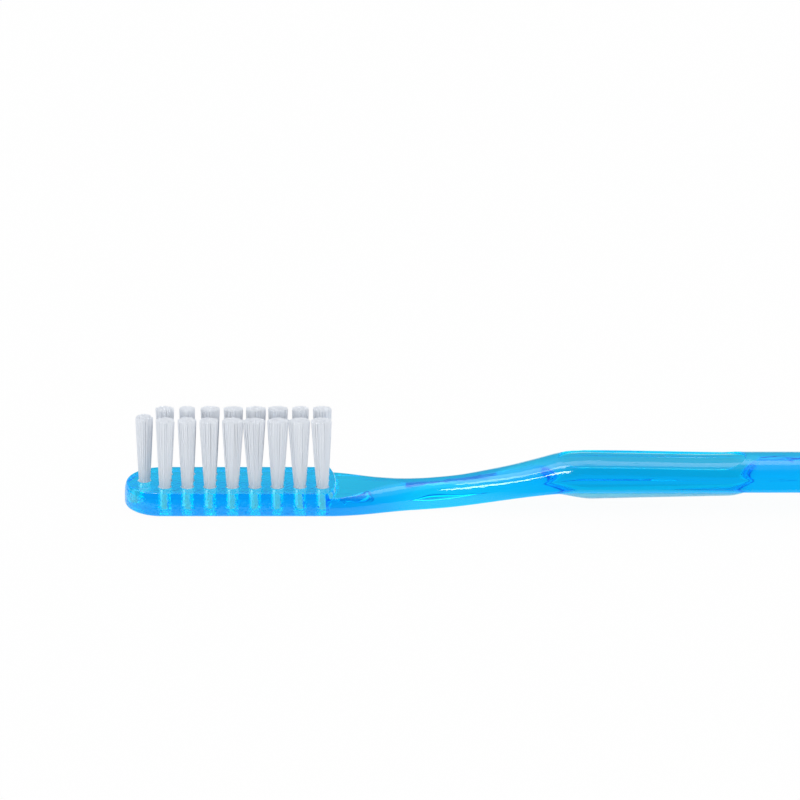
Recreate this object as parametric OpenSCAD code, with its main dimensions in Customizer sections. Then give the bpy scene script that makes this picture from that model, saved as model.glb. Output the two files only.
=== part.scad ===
// Manual toothbrush lying on its back with the bristles up. X runs from the head's tip
// to the end of the handle, Z is up, and Z = 0 is the flat back of the head.

/* [Overall] */
// Length of the whole brush
brush_length = 190; // [170:1:215]

/* [Head] */
// Width of the head
head_width = 11.7; // [11:0.1:15]
// Thickness of the head, from its flat back to the tufted face
head_thickness = 3.4; // [3.3:0.1:5]
// How far the tufted face is drawn in from the head's widest outline
edge_inset = 0.45; // [0.3:0.05:0.7]
// How far down the sides the rounding of that edge reaches
edge_reach = 1.8; // [1.4:0.1:2]
// Radius of the edge round the back
back_edge_radius = 0.5; // [0.3:0.05:0.8]
// Length of the rounded tip, seen from above
tip_length = 5.5; // [4.5:0.1:6.5]
// Step down from the tufted face to the neck
ledge_drop = 0.8; // [0.3:0.01:1]
// Length over which that step falls
ledge_run = 0.7; // [0.4:0.05:1]

/* [Tuft holes] */
// Holes in each of the three full rows
tuft_columns = 8; // [6:1:9]
// Diameter of a tuft hole
hole_d = 1.7; // [1.4:0.05:1.8]
// Plastic between neighbouring holes along the head
column_wall = 1.5; // [1.3:0.05:1.8]
// Plastic between neighbouring holes across the head
row_wall = 0.8; // [0.5:0.05:0.8]
// Plastic left under a hole
hole_floor = 0.55; // [0.5:0.05:1]
// From the tip of the head to the centre of its single first hole
tip_margin = 2.86; // [2.6:0.02:3.4]
// From that hole to the first full column
tip_gap = 3; // [2.8:0.05:3.6]
// From the last column to the end of the tufted face
heel_margin = 2; // [1.8:0.1:3]

/* [Bristles] */
// Height of the bristles above the face
trim_height = 10.15; // [8:0.1:12]
// Gap between the tops of neighbouring columns
column_gap = 0.36; // [0.3:0.01:0.9]
// Gap between the tops of neighbouring rows
top_gap = 0.12; // [0.08:0.01:0.2]
// How uneven the trimmed ends are
trim_unevenness = 0.3; // [0:0.05:0.5]
// How much lower the middle row is trimmed than the outer rows
middle_drop = 0.8; // [0:0.05:1]
// How far the edge of the rounded tip tuft is below its middle
tip_doming = 0.7; // [0:0.1:1]
// Most that the top of a tuft leans along the head
tuft_lean = 0.12; // [0:0.01:0.14]
// Space between the hole and the packed root
root_clearance = 0.08; // [0.04:0.01:0.12]
// How far below the face the root opens into strands
root_recess = 0.3; // [0.2:0.05:0.5]
// How deep the strands are set into the root
strand_seat = 0.1; // [0.05:0.01:0.15]

/* [Anchors] */
// Thickness of the metal plate that each tuft is folded round
anchor_thickness = 0.25; // [0.2:0.05:0.35]
// Height of that plate
anchor_height = 1.4; // [1:0.05:1.6]
// How far each end of the plate is pressed into the plastic
anchor_bite = 0.15; // [0.1:0.01:0.2]
// Height of the strands' fold under the plate
fold_height = 0.45; // [0.3:0.05:0.6]
// Turn of the plates from the head's length, in degrees
anchor_turn = 60; // [0:5:90]
// Space round a plate in its slot
anchor_clearance = 0.02; // [0.01:0.01:0.04]

/* [Neck] */
// Length from the ledge to the full height of the grip
neck_length = 35.5; // [30:0.5:45]
// Width of the neck at its narrowest
neck_width = 5.9; // [5:0.1:8]
// From the ledge to the narrowest place
waist_distance = 13.6; // [11:0.1:18]
// From the ledge to where the underside begins to rise
underside_flat = 11; // [8:0.1:14]
// Length over which the neck's top turns from flat to crowned
crown_run = 9.5; // [6:0.1:14]

/* [Grip] */
// Length of the grip behind the neck
grip_length = 24; // [20:0.5:32]
// Width of the grip
grip_width = 9; // [8.5:0.1:12]
// Thickness of the grip
grip_thickness = 4.5; // [4:0.05:7]
// Height of the grip's underside above the head's back
grip_lift = 3.05; // [2.8:0.05:4]
// Length of the thumb pocket
pocket_length = 26.7; // [20:0.1:28]
// Width of the thumb pocket
pocket_width = 6.8; // [6:0.1:8]
// Depth of the pocket's floor below the crowned top of the grip
pocket_depth = 0.45; // [0.3:0.05:0.8]
// How far the pocket reaches into the neck's curve
pocket_lead = 3.9; // [1:0.1:5]
// Depth of the finger pad under the pocket
pad_depth = 2.4; // [0.8:0.05:2.6]

/* [Tail] */
// Width of the handle behind the grip
tail_width = 8.8; // [8:0.1:12]
// Thickness of the handle behind the grip
tail_thickness = 4.15; // [3.8:0.05:7]
// Thickness of the handle near its end
end_thickness = 3.9; // [3.5:0.05:6]
// From the grip to where the handle begins to bow down
bow_start = 12; // [5:1:20]
// Straight length at the end that the handle rests on
foot_length = 20; // [10:1:30]
// Length of the rounded end
end_length = 5; // [3:0.1:8]

/* [Hidden] */
// How far a cut runs past the surface that it opens
overrun = 0.5;
// How far the blank of the head reaches below its finished flat back
back_skim = 0.03;
// Share of a crowned section's half width that its rounding takes
crown_share = 0.95;
// Height of the neck's top at equal steps, as shares of its climb from ledge to grip
climb_shares = [0, 0.04, 0.1, 0.145, 0.2, 0.275, 0.4, 0.54, 0.72, 0.915, 1];
// How much shallower the finger pad is at its back end
pad_taper_share = 0.39;
// Height of the lowest point of the pocket's cut as a share of the grip's thickness
pocket_base_share = 0.4;
// Strands in the middle of a tuft, in its inner ring and in its outer ring
ring_counts = [1, 5, 10];
// Radius of each of those rings as a share of the root's radius
ring_shares = [0, 0.42, 0.78];
// Width of a strand at the root as a share of the root's radius
strand_share = 0.3;
// Share of its room that a strand fills where the tuft is widest
strand_fill_share = 0.94;
// Points on each rounded corner of a section
corner_points = 7;
// Rings round the tip and round the end
end_rings = 8;
// First angle of the rings round the tip and round the end
end_angle = 6;
// Rings along the neck, the grip and the tail
neck_rings = 20;
grip_rings = 16;
tail_rings = 18;

row_names = ["front", "middle", "back"];
head_half = head_width / 2;
column_pitch = hole_d + column_wall;
row_pitch = hole_d + row_wall;
head_length = tip_margin + tip_gap + (tuft_columns - 1) * column_pitch + heel_margin;
ledge_start = head_length - ledge_run;
neck_top = head_thickness - ledge_drop;
neck_end = head_length + neck_length;
grip_end = neck_end + grip_length;
grip_top = grip_lift + grip_thickness;
tail_top = grip_lift + tail_thickness;
tail_end = brush_length - end_length;
foot_start = tail_end - foot_length;
pocket_start = neck_end - pocket_lead;
pocket_base = mix(grip_lift, grip_top, pocket_base_share);
pad_half = pocket_width / 2;
root_radius = hole_d / 2 - root_clearance;
root_top = head_thickness - root_recess;
bristle_top = head_thickness + trim_height;
strand_width = strand_share * root_radius;
tuft_root_width = 2 * ring_shares[2] * root_radius + strand_width;
// Length of a tuft's top along the head, and that of the single tuft at the tip
tuft_top_length = column_pitch - column_gap;
tip_top_length = 2 * (tip_gap - column_gap) - tuft_top_length;
// Round surfaces of holes and roots
$fn = 32;

function mix(a, b, t) = a + (b - a) * t;
function bounded(t) = min(1, max(0, t));
function ease(t) = let (s = bounded(t)) s * s * (3 - 2 * s);

// Smooth curve through a list of values at equal steps, for t from 0 to 1
function along(values, t) =
    let (last = len(values) - 1,
         at = bounded(t) * last,
         i = min(floor(at), last - 1),
         f = at - i,
         before = values[max(i - 1, 0)],
         after = values[min(i + 2, last)])
    mix(values[i], values[i + 1], f)
    + f * (1 - f) * ((1 - f) * ((values[i + 1] - before) / 2 - (values[i + 1] - values[i]))
                     - f * ((after - values[i]) / 2 - (values[i + 1] - values[i])));

// Outline of the handle at distance x from the head's tip
function half_width(x) =
    x < head_length + waist_distance
    ? mix(head_half, neck_width / 2, ease((x - ledge_start) / (ledge_run + waist_distance)))
    : x < neck_end
    ? mix(neck_width / 2, grip_width / 2,
          ease((x - head_length - waist_distance) / (neck_length - waist_distance)))
    : mix(grip_width / 2, tail_width / 2, ease((x - neck_end) / grip_length));
function tail_thickness_at(x) =
    mix(tail_thickness, end_thickness,
        ease((x - grip_end - bow_start) / (foot_start - grip_end - bow_start)));
function underside(x) =
    x < neck_end
    ? mix(-back_skim, grip_lift,
          ease((x - head_length - underside_flat) / (neck_length - underside_flat)))
    : mix(grip_lift, 0,
          ease((x - grip_end - bow_start) / (foot_start - grip_end - bow_start)));
function topside(x) =
    x <= ledge_start
    ? head_thickness
    : x < neck_end
    ? mix(neck_top, grip_top, along(climb_shares, (x - head_length) / neck_length))
    : x < grip_end
    ? mix(grip_top, tail_top, ease((x - neck_end) / grip_length))
    : underside(x) + tail_thickness_at(x);
function crowning(x) = ease((x - ledge_start) / (ledge_run + crown_run));

// One station of the handle: place, half width, top, underside, crowning and the angle of
// the tip's curve there, which is 90 behind the tip
function station(x, angle = 90) =
    [x, half_width(x), topside(x), underside(x), crowning(x), angle];
function shrunk(s, share) =
    let (middle = (s[2] + s[3]) / 2)
    [s[0], s[1] * share, mix(middle, s[2], share), mix(middle, s[3], share), s[4], s[5]];

// Inset and height of point j of one side of a section, from the underside to the top
function corner(s, j) =
    let (high = j >= corner_points,
         step = high ? j - corner_points : corner_points - 1 - j,
         a = 90 * step / (corner_points - 1),
         across = s[1] * (high ? mix(edge_inset / head_half, crown_share, s[4])
                               : back_edge_radius / head_half),
         up = (s[2] - s[3]) * (high ? edge_reach : back_edge_radius) / head_thickness,
         inset = across * (1 - cos(a)),
         rise = up * (1 - sin(a)))
    [inset, high ? s[2] - rise : s[3] + rise];

function section_point(s, j, side) =
    let (c = corner(s, j),
         x = s[5] < 90 ? c[0] + (tip_length - c[0]) * (1 - cos(s[5])) : s[0])
    [x, side * (s[1] - c[0]) * sin(s[5]), c[1]];

function section(s) =
    concat([for (j = [0:2 * corner_points - 1]) section_point(s, j, 1)],
           [for (j = [2 * corner_points - 1:-1:0]) section_point(s, j, -1)]);

stations = concat(
    [for (i = [0:end_rings - 1])
        station(tip_length, mix(end_angle, 90, i / end_rings))],
    [station(tip_length), station(ledge_start), station(head_length)],
    [for (i = [1:neck_rings]) station(head_length + neck_length * i / neck_rings)],
    [for (i = [1:grip_rings]) station(neck_end + grip_length * i / grip_rings)],
    [for (i = [1:tail_rings]) station(mix(grip_end, tail_end, i / tail_rings))],
    [for (i = [1:end_rings])
        let (a = mix(90, end_angle, i / end_rings))
        shrunk(station(tail_end + end_length * cos(a)), sin(a))]);

// Closed skin through a list of rings that have the same number of points
module skin(rings) {
    n = len(rings[0]);
    last = len(rings) - 1;
    points = [for (ring = rings) for (p = ring) p];
    sides = [for (i = [0:last - 1]) for (j = [0:n - 1])
        let (a = i * n + j, b = i * n + (j + 1) % n)
        each [[a, a + n, b + n], [a, b + n, b]]];
    tip_cap = [for (j = [0:n / 2 - 2])
        each [[j, j + 1, n - 2 - j], [j, n - 2 - j, n - 1 - j]]];
    end_cap = [for (j = [0:n / 2 - 2])
        let (a = last * n + j, b = last * n + n - 1 - j)
        each [[a, b, b - 1], [a, b - 1, a + 1]]];
    polyhedron(points, concat(sides, tip_cap, end_cap));
}

function column_place(i) = tip_margin + tip_gap + (i - 1) * column_pitch;
function row_place(row) = (row - 1) * row_pitch;
tuft_places = concat([[tip_margin, 0]],
    [for (row = [0:2]) for (i = [1:tuft_columns]) [column_place(i), row_place(row)]]);

// Moves the model from the head's tip to the middle of the brush
module placed() {
    translate([-brush_length / 2, 0, 0]) children();
}

module anchor_plate(space) {
    length = hole_d + 2 * anchor_bite + 2 * space;
    thickness = anchor_thickness + 2 * space;
    height = anchor_height + 2 * space;
    rotate([0, 0, anchor_turn])
        translate([-length / 2, -thickness / 2, hole_floor + fold_height - space])
            cube([length, thickness, height]);
}

// Recess of even depth in the crowned top of the grip
module thumb_pocket() {
    straight = pocket_length - pocket_width;
    difference() {
        translate([pocket_start + pad_half, 0, pocket_base])
            linear_extrude(grip_top + overrun - pocket_base)
                union() {
                    translate([0, -pad_half]) square([straight, pocket_width]);
                    circle(pad_half, $fn = 64);
                    translate([straight, 0]) circle(pad_half, $fn = 64);
                }
        translate([0, 0, -pocket_depth])
            skin([for (s = stations)
                if (abs(s[0] - pocket_start - pocket_length / 2) < pocket_length) section(s)]);
    }
}

// Dome under the grip, with the pocket's outline and shallower towards the tail
module finger_pad() {
    hull()
        for (share = [0, 1])
            translate([mix(pocket_start + pad_half, pocket_start + pocket_length - pad_half, share),
                       0, grip_lift])
                scale([1, 1, pad_depth * (1 - pad_taper_share * share) / pad_half])
                    sphere(pad_half, $fn = 32);
}

module handle() {
    color([0, 0.66, 0.9, 0.6])
        placed()
            difference() {
                union() {
                    skin([for (s = stations) section(s)]);
                    finger_pad();
                }
                translate([-overrun, -head_width, -overrun])
                    cube([neck_end, 2 * head_width, overrun]);
                thumb_pocket();
                for (place = tuft_places)
                    translate([place[0], place[1], 0]) {
                        translate([0, 0, hole_floor])
                            cylinder(h = head_thickness, d = hole_d);
                        anchor_plate(anchor_clearance);
                    }
            }
}

// One strand of four sides, from a square at the root to a larger one at the trimmed end
module strand(radius, angle, flare, top, lean) {
    half = strand_width / 2;
    corners = [[-half, -half], [-half, half], [half, half], [half, -half]];
    base = [for (c = corners)
        let (r = radius + c[0])
        [r * cos(angle) - c[1] * sin(angle), r * sin(angle) + c[1] * cos(angle)]];
    middle = [radius * cos(angle), radius * sin(angle)];
    low = [for (p = base) [p[0], p[1], root_top - strand_seat]];
    high = [for (p = base)
        let (q = middle + (p - middle) * strand_fill_share)
        [q[0] * flare[0] + lean, q[1] * flare[1], top]];
    polyhedron(concat(low, high),
        [[0, 3, 2], [0, 2, 1], [4, 5, 6], [4, 6, 7],
         [0, 1, 5], [0, 5, 4], [1, 2, 6], [1, 6, 5],
         [2, 3, 7], [2, 7, 6], [3, 0, 4], [3, 4, 7]]);
}

module tuft(place, seed, top_length, doming, drop) {
    // Flare from root to top, along and across the head
    flare = [top_length / tuft_root_width, (row_pitch - top_gap) / tuft_root_width];
    count = ring_counts[0] + ring_counts[1] + ring_counts[2];
    uneven = rands(0, trim_unevenness, count, seed);
    lean = rands(-tuft_lean, tuft_lean, 1, seed)[0];
    starts = [0, ring_counts[0], ring_counts[0] + ring_counts[1]];
    color([0.9, 0.92, 0.95])
        placed()
            translate([place[0], place[1], 0]) {
                difference() {
                    translate([0, 0, hole_floor])
                        cylinder(h = root_top - hole_floor, r = root_radius);
                    anchor_plate(anchor_clearance);
                }
                for (ring = [0:2]) for (i = [0:ring_counts[ring] - 1])
                    strand(ring_shares[ring] * root_radius, 360 * (i + ring / 2) / ring_counts[ring],
                           flare,
                           bristle_top - drop - uneven[starts[ring] + i]
                           - doming * pow(ring_shares[ring], 2),
                           lean);
            }
}

module tuft_anchors() {
    color([0.78, 0.68, 0.42])
        placed()
            for (place = tuft_places)
                translate([place[0], place[1], 0]) anchor_plate(0);
}

handle();
tuft(tuft_places[0], 0, tip_top_length, tip_doming, 0);  // tip_tuft
for (row = [0:2]) for (i = [1:tuft_columns])
    tuft([column_place(i), row_place(row)], row * tuft_columns + i, tuft_top_length, 0,
             row == 1 ? middle_drop : 0);
tuft_anchors();
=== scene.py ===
# %% [markdown]
# This lesson dresses a clear blue toothbrush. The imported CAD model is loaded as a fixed
# frame: it says where the handle, the 25 tufts and the metal anchors are, and every new
# mesh is worked out from it with numpy, in metres, and stays inside its box.

# %% Load the frame
import math

import bmesh
import bpy
import numpy as np
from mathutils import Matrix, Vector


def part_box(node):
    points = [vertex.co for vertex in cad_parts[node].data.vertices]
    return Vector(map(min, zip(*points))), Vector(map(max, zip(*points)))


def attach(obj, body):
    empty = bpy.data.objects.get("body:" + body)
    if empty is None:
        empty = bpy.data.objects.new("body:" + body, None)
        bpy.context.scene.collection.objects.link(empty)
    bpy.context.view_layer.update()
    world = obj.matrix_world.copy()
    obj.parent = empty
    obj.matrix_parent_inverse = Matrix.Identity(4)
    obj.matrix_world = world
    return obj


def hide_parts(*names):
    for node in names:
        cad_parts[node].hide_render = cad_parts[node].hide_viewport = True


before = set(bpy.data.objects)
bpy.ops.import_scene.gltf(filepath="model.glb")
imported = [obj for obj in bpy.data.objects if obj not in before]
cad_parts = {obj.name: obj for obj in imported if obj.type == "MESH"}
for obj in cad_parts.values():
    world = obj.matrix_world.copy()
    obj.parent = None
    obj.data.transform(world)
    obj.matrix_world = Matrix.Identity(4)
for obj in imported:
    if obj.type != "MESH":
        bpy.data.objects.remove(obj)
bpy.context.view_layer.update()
MM = 0.001

# %% [markdown]
# The frame also gives some of the sizes. The root of each tuft is a plain cylinder that
# sits on the floor of its hole, so its lowest points give the hole's centre and floor. The
# handle's box gives the tip's place, the length and the head's width.


# %% Measure the frame
def node_points(name):
    """All vertices of a CAD node as an array of rows x, y, z in metres."""
    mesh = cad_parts[name].data
    points = np.empty(len(mesh.vertices) * 3)
    mesh.vertices.foreach_get("co", points)
    return points.reshape(-1, 3)


def root_centre(name):
    """Middle of the box round a tuft's lowest points: the centre of its hole's floor."""
    points = node_points(name)
    lowest = points[points[:, 2] < points[:, 2].min() + LEVEL_WITHIN]
    return (lowest.min(0) + lowest.max(0)) / 2


LEVEL_WITHIN = 0.01 * MM
TUFTS = sorted(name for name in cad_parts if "_tuft" in name and name != "tuft_anchors")
HOLES = {name: root_centre(name) for name in TUFTS}
handle_low, handle_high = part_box("handle")
TIP_X = handle_low.x
BRUSH_LENGTH = handle_high.x - handle_low.x
HEAD_HALF = handle_high.y
print("tufts:", len(TUFTS), "first hole:", HOLES["tip_tuft"].round(5))

# %% [markdown]
# The handle is one moulding, so it is one skin. Its underside is flat with a small radius
# along both edges. Its top is flat on the head, with a soft edge, and along the neck that
# edge grows until both meet in the middle and the top is crowned. The sizes are those of
# the CAD model. The neck's top climbs to the grip along a free curve, which is given by
# its share of the whole climb at ten even steps.

# %% Sizes of the handle
HEAD_THICKNESS = 3.4 * MM
EDGE_INSET = 0.45 * MM
EDGE_REACH = 1.8 * MM
BACK_EDGE = 0.5 * MM
TIP_LENGTH = 5.5 * MM
HEAD_LENGTH = 30.26 * MM
LEDGE_DROP = 0.8 * MM
LEDGE_RUN = 0.7 * MM
LEDGE_BOW = 1.0 * MM
LEDGE_BOW_REACH = 4 * MM
NECK_LENGTH = 35.5 * MM
NECK_HALF = 2.95 * MM
WAIST = 13.6 * MM
UNDERSIDE_FLAT = 11 * MM
CROWN_RUN = 9.5 * MM
GRIP_LENGTH = 24 * MM
GRIP_HALF = 4.5 * MM
GRIP_THICKNESS = 4.5 * MM
GRIP_LIFT = 3.05 * MM
TAIL_HALF = 4.4 * MM
TAIL_THICKNESS = 4.15 * MM
END_THICKNESS = 3.9 * MM
BOW_START = 12 * MM
FOOT_LENGTH = 20 * MM
END_LENGTH = 5 * MM
CROWN_SHARE = 0.95
CLIMB_SHARES = np.array([0, 0.04, 0.1, 0.145, 0.2, 0.275, 0.4, 0.54, 0.72, 0.915, 1])

LEDGE_START = HEAD_LENGTH - LEDGE_RUN
NECK_END = HEAD_LENGTH + NECK_LENGTH
GRIP_END = NECK_END + GRIP_LENGTH
GRIP_TOP = GRIP_LIFT + GRIP_THICKNESS
TAIL_TOP = GRIP_LIFT + TAIL_THICKNESS
TAIL_END = BRUSH_LENGTH - END_LENGTH
FOOT_START = TAIL_END - FOOT_LENGTH
print("grip from", round(NECK_END / MM, 2), "to", round(GRIP_END / MM, 2), "mm behind the tip")


# %% Curves along the handle
def mix(a, b, t):
    """The value a share t of the way from a to b."""
    return a + (b - a) * t


def ease(t):
    """Smooth step: 3 t squared minus 2 t cubed, held at 0 before 0 and at 1 after 1."""
    s = np.clip(t, 0, 1)
    return s * s * (3 - 2 * s)


def along(values, t):
    """Smooth curve through evenly spaced values: the straight line between two of them,
    bent so that its slope at each is half the step between that value's neighbours."""
    last = len(values) - 1
    at = np.clip(t, 0, 1) * last
    i = np.minimum(at.astype(int), last - 1)
    f = at - i
    step = values[i + 1] - values[i]
    slope_in = (values[i + 1] - values[np.maximum(i - 1, 0)]) / 2
    slope_out = (values[np.minimum(i + 2, last)] - values[i]) / 2
    bend = f * (1 - f) * ((1 - f) * (slope_in - step) - f * (slope_out - step))
    return mix(values[i], values[i + 1], f) + bend


def half_width(u):
    """Head, then down to the waist, up to the grip and on to the tail, each by a smooth step."""
    to_waist = mix(HEAD_HALF, NECK_HALF, ease((u - LEDGE_START) / (LEDGE_RUN + WAIST)))
    to_grip = mix(NECK_HALF, GRIP_HALF, ease((u - HEAD_LENGTH - WAIST) / (NECK_LENGTH - WAIST)))
    to_tail = mix(GRIP_HALF, TAIL_HALF, ease((u - NECK_END) / GRIP_LENGTH))
    return np.select([u < HEAD_LENGTH + WAIST, u < NECK_END], [to_waist, to_grip], to_tail)


def bowing(u):
    """How far the tail has bowed down: 0 behind the grip and 1 on the foot near the end."""
    start = GRIP_END + BOW_START
    return ease((u - start) / (FOOT_START - start))


def underside(u):
    """Flat under the head, up to the grip by a smooth step, and down again along the tail."""
    neck = GRIP_LIFT * ease((u - HEAD_LENGTH - UNDERSIDE_FLAT) / (NECK_LENGTH - UNDERSIDE_FLAT))
    return np.where(u < NECK_END, neck, GRIP_LIFT * (1 - bowing(u)))


def topside(u):
    """The face, the ledge down to the neck, the climb to the grip, and the tail's top."""
    ledge = mix(HEAD_THICKNESS, HEAD_THICKNESS - LEDGE_DROP, ease((u - LEDGE_START) / LEDGE_RUN))
    climb = mix(HEAD_THICKNESS - LEDGE_DROP, GRIP_TOP, along(CLIMB_SHARES, (u - HEAD_LENGTH) / NECK_LENGTH))
    grip = mix(GRIP_TOP, TAIL_TOP, ease((u - NECK_END) / GRIP_LENGTH))
    tail = underside(u) + mix(TAIL_THICKNESS, END_THICKNESS, bowing(u))
    return np.select([u < HEAD_LENGTH, u < NECK_END, u < GRIP_END], [ledge, climb, grip], tail)


looked_at = np.array([10, 70, 100])
print("top at", looked_at, "mm behind the tip:", (topside(looked_at * MM) / MM).round(2), "mm")

# %% [markdown]
# A ring runs once round a section: out along half of the underside, round the lower
# corner, up the side, round the upper corner and in along the top, and back the same way
# on the other side. Every corner is a quarter of an ellipse. Round the tip the rings are
# not flat: each one is a share of the way round the tip's curve at every height, so the
# rounded edges keep their radius there.

# %% Sections of the handle
UNDER, LOWER_CORNER, SIDE, UPPER_CORNER, TOP = range(5)
STRETCHES = [(UNDER, 9), (LOWER_CORNER, 10), (SIDE, 4), (UPPER_CORNER, 28), (TOP, 5)]
KIND = np.concatenate([np.full(n, k) for k, n in STRETCHES] + [[TOP]])
PLACE = np.concatenate([np.arange(n) / n for _, n in STRETCHES] + [[1]])
LEDGE_BOW_MIDDLE = 0.35


def crown_size(u):
    """How far in and how far down the rounding of the top reaches at u."""
    crown = ease((u - LEDGE_START) / (LEDGE_RUN + CROWN_RUN))
    inward = half_width(u) * mix(EDGE_INSET / HEAD_HALF, CROWN_SHARE, crown)
    return inward, (topside(u) - underside(u)) * EDGE_REACH / HEAD_THICKNESS


def rings(u, turn, squeeze):
    """Grid of points, one ring a row. u is the distance from the tip, turn the angle round
    the tip's curve (90 degrees behind it), and squeeze shrinks a ring to its middle. Near
    the ledge the rings are bowed, with their middles further back than their sides."""
    u, turn, squeeze = u[:, None], turn[:, None], squeeze[:, None]
    wide, top, low = half_width(u), topside(u), underside(u)
    low_in = wide * BACK_EDGE / HEAD_HALF
    low_up = (top - low) * BACK_EDGE / HEAD_THICKNESS
    top_in, top_down = crown_size(u)
    low_angle = (1 - PLACE) * math.pi / 2
    top_angle = PLACE * math.pi / 2
    kinds = [KIND == kind for kind in (UNDER, LOWER_CORNER, SIDE, UPPER_CORNER)]
    inset = np.select(kinds, [low_in, low_in * (1 - np.cos(low_angle)), 0 * wide,
                              top_in * (1 - np.cos(top_angle))], top_in)
    z = np.select(kinds, [low, low + low_up * (1 - np.sin(low_angle)),
                          mix(low + low_up, top - top_down, PLACE),
                          top - top_down * (1 - np.sin(top_angle))], top)
    flat_share = np.select([KIND == UNDER, KIND == TOP], [PLACE, 1 - PLACE], 1)
    y = (wide - inset) * np.sin(turn) * flat_share
    round_tip = inset + (TIP_LENGTH - inset) * (1 - np.cos(turn))
    x = np.where(turn < math.pi / 2, round_tip, u + 0 * inset)
    near_ledge = ease(1 - np.abs(u - HEAD_LENGTH) / LEDGE_BOW_REACH)
    x = x + LEDGE_BOW * near_ledge * (LEDGE_BOW_MIDDLE - (y / wide) ** 2)
    middle = (top + low) / 2
    return np.stack([TIP_X + x, y * squeeze, middle + (z - middle) * squeeze], -1)


waist_ring = rings(np.array([HEAD_LENGTH + WAIST]), np.array([math.pi / 2]), np.ones(1))[0]
print("half a section at the waist in mm:", (np.ptp(waist_ring, axis=0)[1:] / MM).round(2))

# %% [markdown]
# The rings stand close together where the form turns quickly, which is round the tip, at
# the ledge and at the end, and wider apart along the tail. At the end each ring shrinks to
# its middle while it moves back by a sine, which rounds the end off as half an ellipse.

# %% Where the rings stand
TIP_RINGS, HEAD_RINGS, LEDGE_RINGS, NECK_RINGS = 36, 56, 22, 110
GRIP_RINGS, TAIL_RINGS, END_RINGS = 40, 90, 28
LEDGE_FROM = LEDGE_START - 0.2 * MM
LEDGE_TO = HEAD_LENGTH + 0.4 * MM


def handle_stations():
    """Distance from the tip, angle round the tip's curve and squeeze of every ring."""
    tip_turn = np.linspace(0, math.pi / 2, TIP_RINGS, endpoint=False)
    body = np.concatenate([
        np.linspace(TIP_LENGTH, LEDGE_FROM, HEAD_RINGS, endpoint=False),
        np.linspace(LEDGE_FROM, LEDGE_TO, LEDGE_RINGS, endpoint=False),
        np.linspace(LEDGE_TO, NECK_END, NECK_RINGS, endpoint=False),
        np.linspace(NECK_END, GRIP_END, GRIP_RINGS, endpoint=False),
        np.linspace(GRIP_END, TAIL_END, TAIL_RINGS)])
    end_turn = np.linspace(0, math.pi / 2, END_RINGS)[1:]
    u = np.concatenate([np.full(TIP_RINGS, TIP_LENGTH), body, TAIL_END + END_LENGTH * np.sin(end_turn)])
    turn = np.concatenate([tip_turn, np.full(len(body) + len(end_turn), math.pi / 2)])
    squeeze = np.concatenate([np.ones(TIP_RINGS + len(body)), np.cos(end_turn)])
    return u, turn, squeeze


print("rings:", len(handle_stations()[0]))

# %% [markdown]
# Quads join each ring to the next. Only the right half is worked out, and the left half
# mirrors it, so both sides are sure to match. Blender's Mirror modifier could do that too,
# but here both halves are wanted as one closed mesh for the Booleans that follow.

# %% Skin through the rings
SAME_PLACE = 0.002 * MM
NO_LENGTH = 0.001 * MM


def skin_mesh(name, right):
    """Closed mesh from rings of half sections: the left half mirrors the right one, quads
    join each ring to the next, and points that fall together are merged."""
    left = right[:, -2:0:-1] * np.array([1, -1, 1])
    grid = np.concatenate([right, left], 1)
    rows, columns = grid.shape[:2]
    i = np.arange(rows - 1)[:, None] * columns
    j = np.arange(columns)[None, :]
    k = (j + 1) % columns
    quads = np.stack([i + j, i + columns + j, i + columns + k, i + k], -1).reshape(-1, 4)
    mesh = bpy.data.meshes.new(name)
    mesh.from_pydata(grid.reshape(-1, 3).tolist(), [], quads.tolist())
    return cleaned(mesh)


def cleaned(mesh):
    """Merges points that fall together, drops faces without area and turns all faces out."""
    work = bmesh.new()
    work.from_mesh(mesh)
    bmesh.ops.remove_doubles(work, verts=work.verts, dist=SAME_PLACE)
    bmesh.ops.dissolve_degenerate(work, edges=work.edges, dist=NO_LENGTH)
    bmesh.ops.recalc_face_normals(work, faces=work.faces)
    work.to_mesh(mesh)
    work.free()
    return mesh


def make_object(name, mesh):
    """A new object for a mesh, at the origin."""
    item = bpy.data.objects.new(name, mesh)
    bpy.context.scene.collection.objects.link(item)
    return item


blank = make_object("clear_handle", skin_mesh("clear_handle", rings(*handle_stations())))
print("handle blank:", len(blank.data.polygons), "faces")

# %% [markdown]
# Holes, the thumb pocket and the finger pad are made as closed solids and joined to the
# blank with exact Booleans. A subdivision surface could round all of this too, but it would
# pull the holes out of true. Each solid is a stack of rings with a flat cap at both ends.

# %% Closed solids
CUT_MARGIN = 0.5 * MM
FILLET_STEPS = np.radians([0, 22.5, 45, 67.5, 90])


def capped(rows):
    """Closed mesh through rings of equal length, with a flat cap at both ends."""
    count, around = rows.shape[:2]
    i = np.arange(count - 1)[:, None] * around
    j = np.arange(around)[None, :]
    k = (j + 1) % around
    quads = np.stack([i + j, i + k, i + around + k, i + around + j], -1).reshape(-1, 4).tolist()
    caps = [list(range(around - 1, -1, -1)), list(range((count - 1) * around, count * around))]
    return rows.reshape(-1, 3), quads + caps


def joined(name, parts):
    """One mesh that holds several closed solids."""
    points, faces, base = [], [], 0
    for part_points, part_faces in parts:
        points.append(part_points)
        faces += [[base + v for v in face] for face in part_faces]
        base += len(part_points)
    mesh = bpy.data.meshes.new(name)
    mesh.from_pydata(np.concatenate(points).tolist(), [], faces)
    return cleaned(mesh)


print("rings in a fillet:", len(FILLET_STEPS))

# %% [markdown]
# The holes are drilled blind, at the places measured above. A bare cylinder would do for
# the shape, but light in clear plastic shows every edge, so each hole has a small fillet at
# its floor and a soft rim.

# %% Tuft holes
HOLE_RADIUS = 0.85 * MM
HOLE_RIM = 0.18 * MM
HOLE_FILLET = 0.1 * MM
HOLE_RIM_STEPS = np.radians([0, 20, 40, 60, 78])


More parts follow.
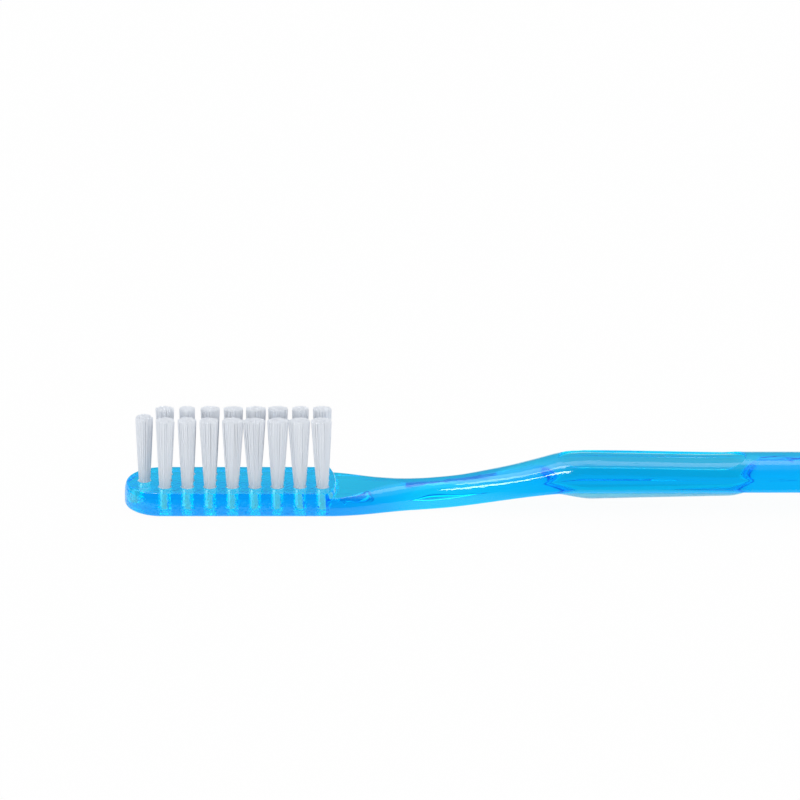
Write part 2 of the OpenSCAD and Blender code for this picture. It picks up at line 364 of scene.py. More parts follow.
def hole_rings(centre, around=48):
    """Profile of a hole turned round its middle: a quarter circle out of the floor, the
    straight wall, and a quarter circle out to the rim."""
    a = np.linspace(0, 2 * math.pi, around, endpoint=False)
    radius = np.concatenate([HOLE_RADIUS - HOLE_FILLET * (1 - np.sin(FILLET_STEPS)),
                             HOLE_RADIUS + HOLE_RIM * (1 - np.cos(HOLE_RIM_STEPS))])
    height = np.concatenate([centre[2] + HOLE_FILLET * (1 - np.cos(FILLET_STEPS)),
                             HEAD_THICKNESS - HOLE_RIM * (1 - np.sin(HOLE_RIM_STEPS))])
    radius = np.append(radius, radius[-1])[:, None]
    height = np.append(height, HEAD_THICKNESS + CUT_MARGIN)[:, None]
    return np.stack([centre[0] + radius * np.cos(a), centre[1] + radius * np.sin(a), height + 0 * a], -1)


print("hole depth in mm:", round((HEAD_THICKNESS - HOLES["tip_tuft"][2]) / MM, 2))

# %% [markdown]
# The thumb pocket is a shallow long hollow with round ends. Its floor follows the crowned
# top, a little below it, and rises towards both ends. Its wall is rounded where it meets
# the floor and the rim. A flat floor would be simpler, but it would mirror light as a
# window pane does, and the real one doesn't.

# %% Thumb pocket
POCKET_LENGTH = 26.7 * MM
POCKET_HALF = 3.4 * MM
POCKET_LEAD = 3.9 * MM
POCKET_DEPTH = 0.45 * MM
POCKET_FILLET = 0.18 * MM
POCKET_RIM = 0.12 * MM
POCKET_RIM_STEPS = np.radians([0, 20, 40, 60, 76])
POCKET_RAMP = 7 * MM
POCKET_END_SHARE = 0.7
POCKET_START = NECK_END - POCKET_LEAD
POCKET_STRAIGHT = POCKET_LENGTH / 2 - POCKET_HALF
POCKET_CENTRE = POCKET_START + POCKET_LENGTH / 2
AROUND = 120
FIRST_ANGLE = 0.01
FILLET_ROOM = 1.2


def stadium(inset):
    """Outline of the pocket, drawn in by inset: two half circles joined by straight sides
    that have a point at every small step."""
    half = AROUND // 4
    a = np.linspace(-math.pi / 2, math.pi / 2, half)
    run = np.linspace(POCKET_STRAIGHT, -POCKET_STRAIGHT, half + 2)[1:-1]
    reach = POCKET_HALF - inset
    x = np.concatenate([POCKET_STRAIGHT + reach * np.cos(a), run, -POCKET_STRAIGHT - reach * np.cos(a), -run])
    y = np.concatenate([reach * np.sin(a), reach + 0 * run, -reach * np.sin(a), -reach + 0 * run])
    return np.stack([POCKET_CENTRE + x, y], -1)


def crown_height(u, y):
    """Height of the crowned top at distance u and offset y: the top less the drop of the
    quarter ellipse there, height = top - down (1 - sqrt(1 - (1 - inset / in)^2))."""
    inward, down = crown_size(u)
    share = np.clip(1 - (half_width(u) - np.abs(y)) / inward, 0, 1)
    return topside(u) - down * (1 - np.sqrt(1 - share ** 2))


def pocket_rings(steps=26):
    """Rings of the pocket's outline, from its middle line over the floor, up the wall and
    over the rim. Each point's height is counted from the crowned top at its own place."""
    flat = POCKET_HALF * (1 - np.sin(np.linspace(FIRST_ANGLE, math.pi / 2, steps, endpoint=False)))
    flat = flat[flat > POCKET_FILLET * FILLET_ROOM]
    inset = np.concatenate([flat, POCKET_FILLET * (1 - np.sin(FILLET_STEPS)),
                            -POCKET_RIM * (1 - np.cos(POCKET_RIM_STEPS))])
    height = np.concatenate([0 * flat, POCKET_FILLET * (1 - np.cos(FILLET_STEPS)),
                             POCKET_DEPTH - POCKET_RIM * (1 - np.sin(POCKET_RIM_STEPS))])
    inset = np.append(inset, inset[-1])
    height = np.append(height, POCKET_DEPTH + CUT_MARGIN)
    plan = np.stack([stadium(i) for i in inset])
    from_end = POCKET_LENGTH / 2 - np.abs(plan[..., 0] - POCKET_CENTRE)
    depth = POCKET_DEPTH * mix(POCKET_END_SHARE, 1, ease(from_end / POCKET_RAMP))
    z = crown_height(plan[..., 0], plan[..., 1]) - depth * (1 - height[:, None] / POCKET_DEPTH)
    z[-1] = GRIP_TOP + CUT_MARGIN
    return np.concatenate([plan[..., :1] + TIP_X, plan[..., 1:], z[..., None]], -1)


print("pocket from", round(POCKET_START / MM, 2), "mm behind the tip, rings:", len(pocket_rings()))

# %% [markdown]
# The finger pad under the grip has half ellipses for sections, and is deepest near its
# front. Its ends rise gently, because a steep end would send light along the handle and
# show as a dark patch from above.

# %% Finger pad
PAD_DEPTH = 2.4 * MM
PAD_TAPER = 0.39
PAD_START = NECK_END - 7.9 * MM
PAD_END = GRIP_END + 1.7 * MM
PAD_RISE = 8.9 * MM
PAD_FALL = 5.4 * MM
PAD_SINK = 0.08 * MM
PAD_BURIED = 1 * MM


def pad_rings(steps=70, around=25):
    """Half ellipses under the grip, one a ring: z = underside - d(u) sqrt(1 - (y / half)^2).
    The depth d rises and falls by smooth steps at its ends and shrinks towards the tail.
    The ends begin a little inside the handle, so the pad grows out of it."""
    u = np.linspace(PAD_START, PAD_END, steps)[:, None]
    back = (u - PAD_START) / (PAD_END - PAD_START)
    ends = ease((u - PAD_START) / PAD_RISE) * ease((PAD_END - u) / PAD_FALL)
    depth = PAD_DEPTH * (1 - PAD_TAPER * back) * ends
    angle = np.linspace(-math.pi / 2, math.pi / 2, around)
    bottom = underside(u) + PAD_SINK - depth * np.cos(angle)
    y = np.concatenate([POCKET_HALF * np.sin(angle), [POCKET_HALF, -POCKET_HALF]]) + 0 * u
    top = underside(u) + PAD_BURIED
    z = np.concatenate([bottom, top, top], 1)
    return np.stack([TIP_X + u + 0 * y, y, z], -1)


print("pad depth below the grip in mm:", round((GRIP_LIFT - pad_rings()[..., 2].min()) / MM, 2))

# %% [markdown]
# The pad is joined first and the holes and the pocket are cut after it, each as one exact
# Boolean. Faces that meet at a small angle are then shaded smooth, and the rest stay crisp.

# %% Join and cut
SHARP = math.radians(28)


def boolean(target, tool, operation):
    """Applies one exact Boolean to the target's mesh and deletes the tool."""
    step = target.modifiers.new(operation, "BOOLEAN")
    step.operation, step.solver, step.object = operation, "EXACT", tool
    result = bpy.data.meshes.new_from_object(target.evaluated_get(bpy.context.evaluated_depsgraph_get()))
    target.modifiers.clear()
    old, target.data = target.data, result
    bpy.data.meshes.remove(old)
    bpy.data.objects.remove(tool)


pad = make_object("pad", joined("pad", [capped(pad_rings())]))
boolean(blank, pad, "UNION")
holes = make_object("holes", joined("holes", [capped(hole_rings(HOLES[name])) for name in TUFTS]))
boolean(blank, holes, "DIFFERENCE")
pocket = make_object("pocket", joined("pocket", [capped(pocket_rings())]))
boolean(blank, pocket, "DIFFERENCE")
blank.data.polygons.foreach_set("use_smooth", np.ones(len(blank.data.polygons), bool))
blank.data.set_sharp_from_angle(angle=SHARP)
print("handle:", len(blank.data.polygons), "faces")

# %% [markdown]
# Every material here starts from a Principled shader, and small helpers add its nodes:
# noise, sums, soft edges and mixes. The same trees could be wired by hand in the Shader
# Editor. As functions they are shorter, and a value with a name is easy to change.


# %% Material helpers
def new_material(name):
    """A material with a Principled shader, and its node tree, shader and output."""
    material = bpy.data.materials.new(name)
    material.use_nodes = True
    tree = material.node_tree
    return material, tree, tree.nodes["Principled BSDF"], tree.nodes["Material Output"]


def noise(tree, scale, detail, stretch=(1, 1, 1)):
    """Noise on Object coordinates, stretched by a Mapping node."""
    coordinates = tree.nodes.new("ShaderNodeTexCoord")
    mapping = tree.nodes.new("ShaderNodeMapping")
    mapping.inputs["Scale"].default_value = stretch
    texture = tree.nodes.new("ShaderNodeTexNoise")
    texture.inputs["Scale"].default_value = scale
    texture.inputs["Detail"].default_value = detail
    tree.links.new(coordinates.outputs["Object"], mapping.inputs["Vector"])
    tree.links.new(mapping.outputs["Vector"], texture.inputs["Vector"])
    return texture


def ranged(tree, source, low, high):
    """Maps a 0 to 1 value to the range from low to high."""
    spread = tree.nodes.new("ShaderNodeMapRange")
    spread.inputs["To Min"].default_value = low
    spread.inputs["To Max"].default_value = high
    tree.links.new(source, spread.inputs["Value"])
    return spread.outputs["Result"]


def math_node(tree, operation, first, second):
    """A Math node on two sockets or numbers."""
    node = tree.nodes.new("ShaderNodeMath")
    node.operation = operation
    for socket, value in zip(node.inputs, (first, second)):
        if isinstance(value, (int, float)):
            socket.default_value = value
        else:
            tree.links.new(value, socket)
    return node.outputs[0]


def edge(tree, value, at, width):
    """1 below at, 0 above it, with a soft edge of the given width."""
    spread = tree.nodes.new("ShaderNodeMapRange")
    spread.interpolation_type = "SMOOTHSTEP"
    limits = {"From Min": at - width / 2, "From Max": at + width / 2, "To Min": 1, "To Max": 0}
    for name, number in limits.items():
        spread.inputs[name].default_value = number
    tree.links.new(value, spread.inputs["Value"])
    return spread.outputs["Result"]


def mixed(tree, share, low, high, kind="FLOAT"):
    """A number or a colour that goes from low to high with a share."""
    node = tree.nodes.new("ShaderNodeMix")
    node.data_type = kind
    first = 6 if kind == "RGBA" else 2
    sockets = (node.inputs[0], node.inputs[first], node.inputs[first + 1])
    for socket, value in zip(sockets, (share, low, high)):
        if hasattr(value, "node"):
            tree.links.new(value, socket)
        else:
            socket.default_value = value
    return node.outputs[2 if kind == "RGBA" else 0]


def place_axes(tree, source="Object"):
    """The X, Y and Z of Object coordinates, or of the direction in the sky."""
    axes = tree.nodes.new("ShaderNodeSeparateXYZ")
    tree.links.new(tree.nodes.new("ShaderNodeTexCoord").outputs[source], axes.inputs[0])
    return axes.outputs["X"], axes.outputs["Y"], axes.outputs["Z"]


def bumped(tree, shader, source, distance):
    """Bump from a height, where a height of 1 stands distance metres out."""
    bump = tree.nodes.new("ShaderNodeBump")
    bump.inputs["Distance"].default_value = distance
    tree.links.new(source, bump.inputs["Height"])
    tree.links.new(bump.outputs["Normal"], shader.inputs["Normal"])


helpers = (new_material, noise, ranged, math_node, edge, mixed, place_axes, bumped)
print("material helpers:", ", ".join(helper.__name__ for helper in helpers))

# %% [markdown]
# The finger pad is finely frosted, so a part of the light is scattered there. The rims of the holes are matt
# white, which paints the highlights that their rounded edges catch. Everywhere else the skin is polished. A
# second material could carry the frost, but a moulding has only one, and a share that fades out along the pad
# leaves no line where the frost ends.

# %% Frost and painted rim highlights
POLISH = 0.03
FROST_TOP, FROST_TOP_EDGE = 2.6 * MM, 0.3 * MM
FROST_START, FROST_START_EDGE = POCKET_START + 1 * MM, 3 * MM
FROST_END_EDGE = 1 * MM
FROST_SHARE = 0.34
FROST_TINT = (0.62, 0.95, 0.82, 1)
FROST_FROM_INSIDE = 0.3
FROST_ROUGHNESS = 0.8
RIM_PAINTED_HIGHLIGHT = 0.9
RIM_REACH, RIM_DOWN = 0.7 * HOLE_RIM, 0.9 * HOLE_RIM


def frost_and_rim_highlights(tree, shader, ripples, x, z):
    """Frost on the finger pad, weaker there for light from inside, matt white on the holes' rims as a painted
    highlight, and a polish that varies a little with the ripples everywhere else."""
    along_pad = math_node(tree, "SUBTRACT", edge(tree, x, TIP_X + PAD_END, FROST_END_EDGE),
                          edge(tree, x, TIP_X + FROST_START, FROST_START_EDGE))
    pad = math_node(tree, "MULTIPLY", edge(tree, z, FROST_TOP, FROST_TOP_EDGE), along_pad)
    rims = tree.nodes.new("ShaderNodeAttribute")
    rims.attribute_name = "hole_rim"
    inside = tree.nodes.new("ShaderNodeNewGeometry").outputs["Backfacing"]
    share = mixed(tree, inside, FROST_SHARE, FROST_SHARE * FROST_FROM_INSIDE)
    # On the rims the matt white share is a painted highlight.
    matt = math_node(tree, "MAXIMUM", math_node(tree, "MULTIPLY", pad, share),
                     math_node(tree, "MULTIPLY", rims.outputs["Fac"], RIM_PAINTED_HIGHLIGHT))
    roughness = math_node(tree, "ADD", ranged(tree, ripples, 0.0, POLISH),
                          math_node(tree, "MULTIPLY", matt, FROST_ROUGHNESS))
    tree.links.new(roughness, shader.inputs["Roughness"])
    tree.links.new(ranged(tree, matt, 1, 0), shader.inputs["Transmission Weight"])
    tree.links.new(mixed(tree, pad, (1, 1, 1, 1), FROST_TINT, "RGBA"), shader.inputs["Base Color"])


def mark_hole_rims(mesh):
    """Point attribute hole_rim: 1 on the rounded rims of the holes, where the painted highlight goes, 0
    elsewhere.
    """
    points = np.empty(len(mesh.vertices) * 3)
    mesh.vertices.foreach_get("co", points)
    points = points.reshape(-1, 3)
    centres = np.array([HOLES[name][:2] for name in TUFTS])
    from_axis = np.linalg.norm(points[:, None, :2] - centres, axis=-1).min(1)
    on_rim = (from_axis < HOLE_RADIUS + RIM_REACH) & (points[:, 2] > HEAD_THICKNESS - RIM_DOWN)
    rim = mesh.attributes.new("hole_rim", "FLOAT", "POINT")
    rim.data.foreach_set("value", on_rim.astype(float))
    return int(on_rim.sum())


print("points on hole rims:", mark_hole_rims(blank.data))

# %% [markdown]
# A moulding is never quite smooth. It has slight ripples from the mould and fine handling
# marks along it. On the walls of the head the ripples are much stronger, and they break up
# what is seen of the roots. All of it is finer than a tenth of a millimetre, so it is bump
# and not shape.

# %% Ripples and flecks
RIPPLES = {"scale": 180, "detail": 2, "stretch": (0.35, 1, 1)}
FLECKS = {"scale": 1500, "detail": 2, "stretch": (0.12, 1, 1)}
SWIRLS = {"scale": 1700, "detail": 2}
RELIEF = 0.004 * MM
FLECK_LEVEL, FLECK_HEIGHT = 0.6, 12.0
HEAD_RIPPLES = 28.0
WALL_TOP, WALL_TOP_EDGE = HEAD_THICKNESS - 0.6 * MM, 0.4 * MM
WALL_END, WALL_END_EDGE = LEDGE_START - 1 * MM, 2 * MM


def relief(tree, shader, ripples, x, z):
    """Moulding ripples, fine raised flecks along the handle, and stronger ripples on the
    walls of the head, which break up the view of the roots."""
    flecks = noise(tree, **FLECKS).outputs["Fac"]
    raised = math_node(tree, "MAXIMUM", math_node(tree, "SUBTRACT", flecks, FLECK_LEVEL), 0.0)
    marks = math_node(tree, "ADD", ripples, math_node(tree, "MULTIPLY", raised, FLECK_HEIGHT))
    wall = math_node(tree, "MULTIPLY", edge(tree, x, TIP_X + WALL_END, WALL_END_EDGE),
                     edge(tree, z, WALL_TOP, WALL_TOP_EDGE))
    swirls = math_node(tree, "MULTIPLY", noise(tree, **SWIRLS).outputs["Fac"], HEAD_RIPPLES)
    height = math_node(tree, "ADD", marks, math_node(tree, "MULTIPLY", wall, swirls))
    bumped(tree, shader, height, RELIEF)


print("handling marks stand out by up to", round(RELIEF / MM * (1 - FLECK_LEVEL) * FLECK_HEIGHT, 3), "mm")

# %% [markdown]
# Clear tinted plastic is a glass shader with a volume that absorbs red strongly, green a
# little and blue hardly at all. The colour then deepens with the thickness, as it does in
# the real moulding. A plain transparent shader would be quicker, but it bends no light, and
# the bent light is what makes clear plastic look thick. The renderer follows only a few
# reflections inside, so light that is still caught after them gets a blue-green glow.

# %% Clear blue plastic
PLASTIC_IOR = 1.5
ABSORPTION = (900, 92, 8)
FOLLOWED_REFLECTIONS = 4
CAUGHT_LIGHT = (0.02, 1.8, 0.8, 1)


def tinted_through(tree, output):
    """Absorption: after d metres a share exp(-a d) is left, with one a for each colour."""
    volume = tree.nodes.new("ShaderNodeVolumeAbsorption")
    density = max(ABSORPTION)
    volume.inputs["Density"].default_value = density
    volume.inputs["Color"].default_value = [1 - a / density for a in ABSORPTION] + [1]
    tree.links.new(volume.outputs["Volume"], output.inputs["Volume"])


def lit_when_caught(tree, shader):
    """Light still caught after the reflections that the renderer follows would end black.
    It gets the colour that it would leave with instead."""
    depth = tree.nodes.new("ShaderNodeLightPath").outputs["Glossy Depth"]
    caught = math_node(tree, "GREATER_THAN", depth, FOLLOWED_REFLECTIONS - 0.5)
    tree.links.new(caught, shader.inputs["Emission Strength"])
    shader.inputs["Emission Color"].default_value = CAUGHT_LIGHT


def clear_blue_plastic():
    material, tree, shader, output = new_material("clear_blue_plastic")
    shader.inputs["IOR"].default_value = PLASTIC_IOR
    ripples = noise(tree, **RIPPLES).outputs["Fac"]
    x, _, z = place_axes(tree)
    frost_and_rim_highlights(tree, shader, ripples, x, z)
    relief(tree, shader, ripples, x, z)
    tinted_through(tree, output)
    lit_when_caught(tree, shader)
    return material


blank.data.materials.clear()
blank.data.materials.append(clear_blue_plastic())
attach(blank, "root")
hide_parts("handle")
passed = [round(math.exp(-a * GRIP_THICKNESS), 2) for a in ABSORPTION]
print("share of red, green and blue that passes the grip:", passed)

# %% [markdown]
# A tuft is a bundle of nylon filaments, folded in half round its anchor and trimmed level.
# Each filament is a thin tube along its own line: straight and close together in the hole,
# then spreading above the face. How far each tuft spreads along the head is its own, as no
# two are alike. Hair curves would be lighter, but a mesh can be handed on as it is. All
# filaments of a tuft are worked out at once, as one array of filament, level and side.

# %% Lines of the filaments
FILAMENTS = 160
FILAMENT_RADIUS = 0.08 * MM
FILAMENT_SIDES = 5
LEVELS = np.array([0, 0.2, 0.28, 0.5, 0.8, 0.99, 1])
ROOT_THICKNESS, TOP_THICKNESS, END_THICKNESS = 0.85, 1.4, 0.8
PACK_RADIUS = 0.745 * MM
TOP_HALVES = {"front": [1.3, 1.22, 1.3, 1.47, 1.54, 1.48, 1.5, 1.42],
              "middle": [1.25] * 8,
              "back": [1.27, 1.05, 1.33, 1.34, 1.36, 1.38, 1.15, 1.3],
              "tip": [1.2]}
TOP_HALF_Y = 0.98 * MM
SPREAD_POWER = 0.75
STRAY = 0.03 * MM
UNEVENNESS = 0.14 * MM
DOMING, TIP_DOMING = 0.5 * UNEVENNESS, 0.45 * MM
FLOOR_CLEARANCE = 0.05 * MM
GOLDEN_ANGLE = math.pi * (3 - math.sqrt(5))
FIRST_SEED = 100


def tuft_points(name, order):
    """Filament i starts at radius R sqrt((i + 0.5) / n) and angle i times the golden angle.
    Above the face it moves out as a power of its height, to its place in the wider top,
    plus a small stray of its own. The trim falls off as the radius to the fourth."""
    chance = np.random.default_rng(FIRST_SEED + order)
    centre = HOLES[name]
    low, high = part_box(name)
    i = np.arange(FILAMENTS)
    spread = np.sqrt((i + 0.5) / FILAMENTS)
    start = spread[:, None] * np.stack([np.cos(i * GOLDEN_ANGLE), np.sin(i * GOLDEN_ANGLE)], -1)
    lean = (low.x + high.x) / 2 - centre[0]
    doming = TIP_DOMING if name == "tip_tuft" else DOMING
    top = high.z - UNEVENNESS * chance.random(FILAMENTS) - doming * spread ** 4
    row, _, column = name.partition("_tuft")
    half = TOP_HALVES[row][int(column.strip("_") or 1) - 1] * MM
    end = start * np.array([half, TOP_HALF_Y]) + [lean, 0] + chance.normal(0, STRAY, (FILAMENTS, 2))
    z = mix(centre[2] + FLOOR_CLEARANCE, top[:, None], LEVELS)
    above = np.clip((z - HEAD_THICKNESS) / (top[:, None] - HEAD_THICKNESS), 0, 1)[..., None]
    line = mix(start[:, None] * PACK_RADIUS, end[:, None], above ** SPREAD_POWER)
    side = np.arange(FILAMENT_SIDES) * 2 * math.pi / FILAMENT_SIDES
    circle = FILAMENT_RADIUS * np.stack([np.cos(side), np.sin(side)], -1)
    thickness = np.where(LEVELS == 1, END_THICKNESS, mix(ROOT_THICKNESS, TOP_THICKNESS, LEVELS))
    xy = line[:, :, None] + circle[None, None] * thickness[None, :, None, None] + centre[:2]
    return np.concatenate([xy, np.broadcast_to(z[:, :, None, None], xy.shape[:3] + (1,))], -1)


print("points in a tuft:", tuft_points("tip_tuft", 0)[..., 0].size)

# %% [markdown]
# Each line becomes a thin five-sided tube with a cap at both ends. The walls are shaded
# smooth and the caps flat, because the tips are cut. Nylon is white and slightly glossy,
# with faint streaks along it. The part of a root that the clear head shows gets very little
# light in the renderer, so it has a faint glow, which only light that came through the
# plastic sees.

# %% Tufts of white nylon
PAINTED_GLOW = 0.42
PAINTED_GLOW_COLOUR = (1.7, 0.95, 0.9, 1)
NYLON_SHADE, NYLON_LIGHT = (0.82, 0.86, 0.93, 1), (0.9, 0.93, 0.97, 1)
NYLON_ROUGHNESS = 0.35
STREAKS = {"scale": 900, "detail": 3, "stretch": (1, 1, 0.04)}


def tuft_mesh(name, order):
    """Tubes through the points of tuft_points, closed by a cap at each end."""
    points = tuft_points(name, order)
    count, levels, sides = points.shape[:3]
    base = np.arange(count)[:, None, None] * levels * sides
    i = np.arange(levels - 1)[None, :, None] * sides
    j = np.arange(sides)[None, None, :]
    k = (j + 1) % sides
    walls = np.stack([base + i + j, base + i + k, base + i + sides + k, base + i + sides + j], -1)
    ends = np.arange(count)[:, None] * levels * sides + np.arange(sides)[None, :]
    caps = np.concatenate([ends[:, ::-1], ends + (levels - 1) * sides])
    mesh = bpy.data.meshes.new(name + "_filaments")
    mesh.from_pydata(points.reshape(-1, 3).tolist(), [], walls.reshape(-1, 4).tolist() + caps.tolist())
    smooth = np.ones(len(mesh.polygons), bool)
    smooth[-len(caps):] = False
    mesh.polygons.foreach_set("use_smooth", smooth)
    return mesh


def lit_through_plastic(tree, shader):
    """A painted glow for the light that reaches a root or an anchor through the clear plastic, which only
    light that came through the plastic sees.
    """
    through = tree.nodes.new("ShaderNodeLightPath").outputs["Is Transmission Ray"]
    tree.links.new(math_node(tree, "MULTIPLY", through, PAINTED_GLOW), shader.inputs["Emission Strength"])
    shader.inputs["Emission Color"].default_value = PAINTED_GLOW_COLOUR


def white_nylon():
    material, tree, shader, _ = new_material("white_nylon")
    shader.inputs["Roughness"].default_value = NYLON_ROUGHNESS
    streaks = noise(tree, **STREAKS).outputs["Fac"]
    tree.links.new(mixed(tree, streaks, NYLON_SHADE, NYLON_LIGHT, "RGBA"), shader.inputs["Base Color"])
    lit_through_plastic(tree, shader)
    return material


nylon = white_nylon()
for order, name in enumerate(TUFTS):
    tuft = make_object(name + "_filaments", tuft_mesh(name, order))
    tuft.data.materials.append(nylon)
    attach(tuft, "root")
    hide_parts(name)
print("filaments:", FILAMENTS * len(TUFTS), "with", len(tuft.data.polygons), "faces a tuft")

# %% [markdown]
# The anchors are flat metal plates, cut from strip and pressed into the holes' walls across the fold of each
# tuft. Their CAD shape is right, so it stays and only gets a material: a pale metal whose roughness varies in
# fine lines, as on drawn strip, with the same faint painted glow as the roots, which only light that came
# through the plastic sees.

# %% Anchor metal
PALE_METAL = (0.86, 0.86, 0.83, 1)
BRUSHING = {"scale": 4000, "detail": 2, "stretch": (1, 1, 0.1)}
SMOOTHEST, ROUGHEST = 0.25, 0.45


def anchor_metal():
    material, tree, shader, _ = new_material("anchor_metal")
    shader.inputs["Metallic"].default_value = 1
    shader.inputs["Base Color"].default_value = PALE_METAL
    # The same painted glow as on the roots, seen only by light that came through the plastic.
    lit_through_plastic(tree, shader)
    brushing = noise(tree, **BRUSHING).outputs["Fac"]
    tree.links.new(ranged(tree, brushing, SMOOTHEST, ROUGHEST), shader.inputs["Roughness"])
    return material


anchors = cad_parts["tuft_anchors"]
anchors.data.materials.clear()
anchors.data.materials.append(anchor_metal())
print("anchors:", len(anchors.data.polygons), "faces in", anchors.name)

# %% [markdown]
# The stage is a wide pale floor under a plain bright sky. For the camera the floor is white and keeps the
# soft shadow of the brush. Clear plastic takes its colour from what is behind it, so light that came through
# it sees the floor brighter, with a painted blue light in a strip under the head and the neck, where light
# that passed through the blue plastic would fall. For gloss the floor is a painted reflection, dark in front
# of the brush.

# %% Floor
FLOOR_HALF = 2.0
FLOOR_GAP = 0.1 * MM
FLOOR_COLOUR = (0.9, 0.9, 0.9, 1)
FLOOR_ROUGHNESS = 0.9
FLOOR_GLOW = 0.96
OPEN_FLOOR = (0.84, 0.9, 0.94, 1)
PAINTED_BLUE_LIGHT = (0.04, 0.73, 0.88, 1)
PAINTED_LIGHT_END, PAINTED_LIGHT_END_EDGE = TIP_X + 58 * MM, 14 * MM
PAINTED_LIGHT_HALF, PAINTED_LIGHT_HALF_EDGE = 7.5 * MM, 1.2 * MM
PAINTED_REFLECTION_FRONT, PAINTED_REFLECTION_NEAR = 0.08, 0.75
MIRROR_CHANGE_Y, MIRROR_CHANGE_EDGE = -10.5 * MM, 5 * MM


def floor_material():
    """Pale matt floor with a glow of its own for each kind of ray: a painted blue light under the brush for
    light through the plastic, a painted reflection, dark in front of the brush, for gloss, and white for the
    camera, which keeps only a trace of the shadow."""
    material, tree, shader, output = new_material("floor")
    shader.inputs["Base Color"].default_value = FLOOR_COLOUR
    shader.inputs["Roughness"].default_value = FLOOR_ROUGHNESS
    x, y, _ = place_axes(tree)
    # Painted blue light: a strip under the head and the neck, where light through the blue plastic would
    # fall.
    across = edge(tree, math_node(tree, "ABSOLUTE", y, 0.0), PAINTED_LIGHT_HALF, PAINTED_LIGHT_HALF_EDGE)
    strip = math_node(tree, "MULTIPLY", across, edge(tree, x, PAINTED_LIGHT_END, PAINTED_LIGHT_END_EDGE))
    # Painted reflection: what the gloss sees of the floor, dark in front of the brush.
    front = edge(tree, y, MIRROR_CHANGE_Y, MIRROR_CHANGE_EDGE)
    in_front = ranged(tree, front, PAINTED_REFLECTION_NEAR, PAINTED_REFLECTION_FRONT)
    path = tree.nodes.new("ShaderNodeLightPath")
    through, mirrored = path.outputs["Is Transmission Ray"], path.outputs["Is Glossy Ray"]
    below = mixed(tree, strip, OPEN_FLOOR, PAINTED_BLUE_LIGHT, "RGBA")
    colour = mixed(tree, mirrored, (1, 1, 1, 1), in_front, "RGBA")
    colour = mixed(tree, through, colour, below, "RGBA")
    glow = tree.nodes.new("ShaderNodeEmission")
    tree.links.new(colour, glow.inputs["Color"])
    seen = math_node(tree, "MULTIPLY", path.outputs["Is Camera Ray"], FLOOR_GLOW)
    share = math_node(tree, "MAXIMUM", math_node(tree, "MAXIMUM", through, mirrored), seen)
    blend = tree.nodes.new("ShaderNodeMixShader")
    tree.links.new(share, blend.inputs[0])
    tree.links.new(shader.outputs[0], blend.inputs[1])
    tree.links.new(glow.outputs[0], blend.inputs[2])
    tree.links.new(blend.outputs[0], output.inputs["Surface"])
    return material


mesh = bpy.data.meshes.new("floor")
corners = [(-FLOOR_HALF, -FLOOR_HALF, -FLOOR_GAP), (FLOOR_HALF, -FLOOR_HALF, -FLOOR_GAP),
           (FLOOR_HALF, FLOOR_HALF, -FLOOR_GAP), (-FLOOR_HALF, FLOOR_HALF, -FLOOR_GAP)]
mesh.from_pydata(corners, [], [(0, 1, 2, 3)])
mesh.materials.append(floor_material())
floor = make_object("floor", mesh)
print("floor", round(FLOOR_GAP / MM, 2), "mm under the brush")

# %% [markdown]
# What the gloss mirrors is a studio: dark in front, with a bright band high at the back and
# two round lamps that give the long glints. It is all in the world's colour, chosen by the
# kind of ray, so no lamp adds light to the brush itself, and the camera still sees plain
# white. Area lamps and black cards would do the same, with more to set up.

# %% Sky
SOFT_SKY = 1.02
SEEN_THROUGH = 1.07
FRONT_SKY, LOW_BACK_SKY, HIGH_BACK_SKY, BACK_BAND = 0.06, 0.12, 0.45, 1.5
BEHIND_EDGE = 0.3
SKY_RISE, SKY_RISE_WIDTH = 0.45, 0.4
BAND_LOW, BAND_HIGH, BAND_EDGE = 0.7, 0.89, 0.06
WINDOWS = [((-0.27, -0.27, 0.924), 8, 14), ((-0.26, 0.31, 0.914), 6, 6)]


def window(tree, direction, half_angle):
    """1 where the sky's direction is within half_angle degrees of a lamp's, with a soft rim.
    Two directions are that close where their dot product is over the angle's cosine."""
    along_lamp = tree.nodes.new("ShaderNodeVectorMath")
    along_lamp.operation = "DOT_PRODUCT"
    tree.links.new(tree.nodes.new("ShaderNodeTexCoord").outputs["Generated"], along_lamp.inputs[0])
    along_lamp.inputs[1].default_value = direction
    rim = math.cos(math.radians(half_angle))
    return math_node(tree, "SUBTRACT", 1.0, edge(tree, along_lamp.outputs["Value"], rim, (1 - rim) / 2))


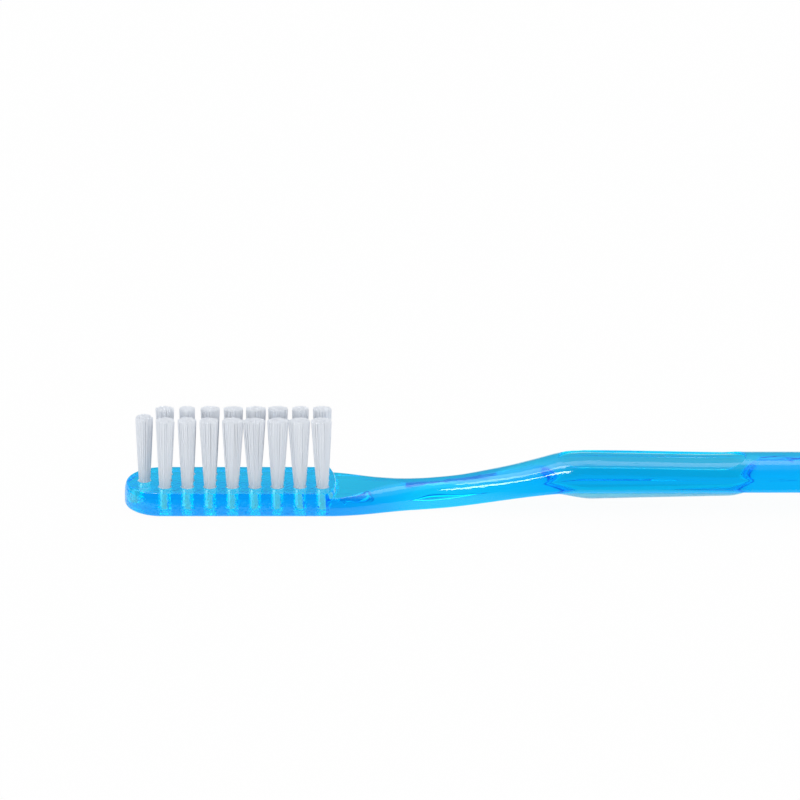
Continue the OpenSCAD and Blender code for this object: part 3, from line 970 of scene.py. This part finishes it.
def mirrored_sky(tree):
    """Dim in front and brighter behind, with a bright band high up at the back, and the
    two lamp windows, each a direction, a half angle in degrees and a strength."""
    _, y, z = place_axes(tree, "Generated")
    behind = math_node(tree, "SUBTRACT", 1.0, edge(tree, y, 0.0, BEHIND_EDGE))
    band = math_node(tree, "SUBTRACT", edge(tree, z, BAND_HIGH, BAND_EDGE),
                     edge(tree, z, BAND_LOW, BAND_EDGE))
    rise = ranged(tree, edge(tree, z, SKY_RISE, SKY_RISE_WIDTH), HIGH_BACK_SKY, LOW_BACK_SKY)
    back = math_node(tree, "ADD", rise, math_node(tree, "MULTIPLY", band, BACK_BAND))
    light = mixed(tree, behind, FRONT_SKY, back)
    for direction, half_angle, strength in WINDOWS:
        light = mixed(tree, window(tree, direction, half_angle), light, float(strength))
    return light


def sky():
    """White for the camera and for light through the plastic, a studio for the gloss."""
    world = bpy.data.worlds.new("sky")
    bpy.context.scene.world = world
    world.use_nodes = True
    tree = world.node_tree
    background = tree.nodes["Background"]
    background.inputs["Color"].default_value = (1, 1, 1, 1)
    path = tree.nodes.new("ShaderNodeLightPath")
    light = mixed(tree, path.outputs["Is Glossy Ray"], SOFT_SKY, mirrored_sky(tree))
    light = mixed(tree, path.outputs["Is Transmission Ray"], light, SEEN_THROUGH)
    light = mixed(tree, path.outputs["Is Camera Ray"], light, 1.0)
    tree.links.new(light, background.inputs["Strength"])


sky()
print("lamp windows:", len(WINDOWS))

# %% [markdown]
# The camera looks at the brush's side from 20 degrees above level. It stands far away and
# has a long lens, so that there is hardly any perspective. The scale is 7 pixels to the
# millimetre, and the pixel of one known point, under the tip at the level of the brush's
# back, then says where the camera stands.

# %% Camera
LENS = 300
SENSOR = 36
PICTURE = 800
SCALE = 7 / MM
ELEVATION = math.radians(20)
TIP_COLUMN, BACK_ROW = 125, 502.6
MIDDLE = PICTURE / 2
FOCUS = (TIP_X + (MIDDLE - TIP_COLUMN) / SCALE, 0, (BACK_ROW - MIDDLE) / SCALE / math.cos(ELEVATION))

camera_data = bpy.data.cameras.new("camera")
camera_data.lens = LENS
camera_data.sensor_width = SENSOR
camera = bpy.data.objects.new("camera", camera_data)
bpy.context.scene.collection.objects.link(camera)
distance = PICTURE * LENS / SENSOR / SCALE - FOCUS[2] * math.sin(ELEVATION)
rise = distance * math.sin(ELEVATION)
camera.location = (FOCUS[0], -distance * math.cos(ELEVATION), FOCUS[2] + rise)
camera.rotation_euler = (math.pi / 2 - ELEVATION, 0, 0)
bpy.context.scene.camera = camera
bpy.context.scene.view_settings.view_transform = "Standard"
print("camera", round(distance, 2), "m away")
